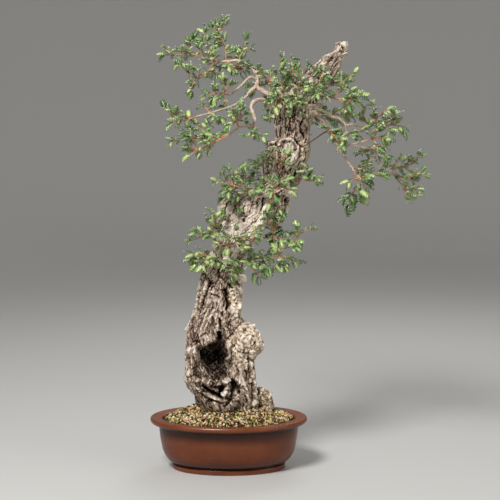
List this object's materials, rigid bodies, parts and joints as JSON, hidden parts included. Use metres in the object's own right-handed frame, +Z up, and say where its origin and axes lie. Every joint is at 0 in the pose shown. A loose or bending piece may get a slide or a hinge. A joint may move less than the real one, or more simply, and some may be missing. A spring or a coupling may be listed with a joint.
{
  "type": "portuguese oak bonsai",
  "caption": "Old leaning hollow trunk with bare limbs and sprays of small toothed leaves, growing in gravelly soil in an oval unglazed pot with a wide lip and a foot.",
  "frame": {"origin": "under the middle of the whole tree and pot, on the surface that the pot stands on", "axes": "+Z up along the tree's height, -Y is the front of the tree, +X is the side that the trunk leans to"},
  "size_m": [0.5608, 0.283, 0.909],
  "materials": {
    "unglazed_clay": "satin",
    "black_screen": "matte",
    "gravel_soil": "matte",
    "oak_bark": "matte",
    "brown_wire": "satin",
    "oak_leaves": "satin"
  },
  "bodies": {
    "root": {"pot": "unglazed_clay", "drain_screen_left": "black_screen", "drain_screen_right": "black_screen", "soil": "gravel_soil", "trunk": "oak_bark", "brace_wire": "brown_wire", "spray_crest_tall": "oak_leaves", "spray_crest_mid": "oak_leaves", "spray_crest_short": "oak_leaves", "spray_crest_left": "oak_leaves", "spray_crest_front": "oak_leaves", "spray_crest_under": "oak_leaves", "spray_crest_inner": "oak_leaves", "spray_crest_back": "oak_leaves", "spray_left_inner": "oak_leaves", "spray_left_low_tip": "oak_leaves", "spray_left_low_mid": "oak_leaves", "spray_left_mid_tip": "oak_leaves", "spray_left_mid_upper": "oak_leaves", "spray_left_mid_inner": "oak_leaves", "spray_hook_under": "oak_leaves", "spray_right_low_tip": "oak_leaves", "spray_right_low_side": "oak_leaves", "spray_right_inner": "oak_leaves", "spray_right_long": "oak_leaves", "spray_right_long_drop": "oak_leaves", "spray_right_mid_front": "oak_leaves", "spray_right_mid_tip": "oak_leaves", "spray_right_mid_back": "oak_leaves", "spray_far_right": "oak_leaves", "spray_far_right_drop": "oak_leaves", "spray_far_right_rise": "oak_leaves", "spray_upper_right_rise": "oak_leaves", "spray_upper_right": "oak_leaves", "spray_top_left": "oak_leaves", "spray_top_mid": "oak_leaves", "spray_top_low": "oak_leaves", "spray_apex_front_left": "oak_leaves", "spray_apex_front": "oak_leaves", "spray_apex_front_right": "oak_leaves", "spray_apex_right": "oak_leaves", "spray_apex_crown": "oak_leaves", "spray_back_top": "oak_leaves", "spray_back_left": "oak_leaves", "spray_back_right": "oak_leaves", "spray_back_mid": "oak_leaves", "spray_back_low": "oak_leaves", "spray_mid_left": "oak_leaves", "spray_mid_left_low": "oak_leaves", "spray_mid_left_up": "oak_leaves", "spray_mid_left_high": "oak_leaves", "spray_mid_front": "oak_leaves", "spray_mid_front_low": "oak_leaves", "spray_mid_right": "oak_leaves", "spray_low_left_upper": "oak_leaves", "spray_low_left": "oak_leaves", "spray_low_front": "oak_leaves", "spray_low_front_upper": "oak_leaves", "spray_low_right_upper": "oak_leaves", "spray_low_right": "oak_leaves"}
  },
  "joints": []
}
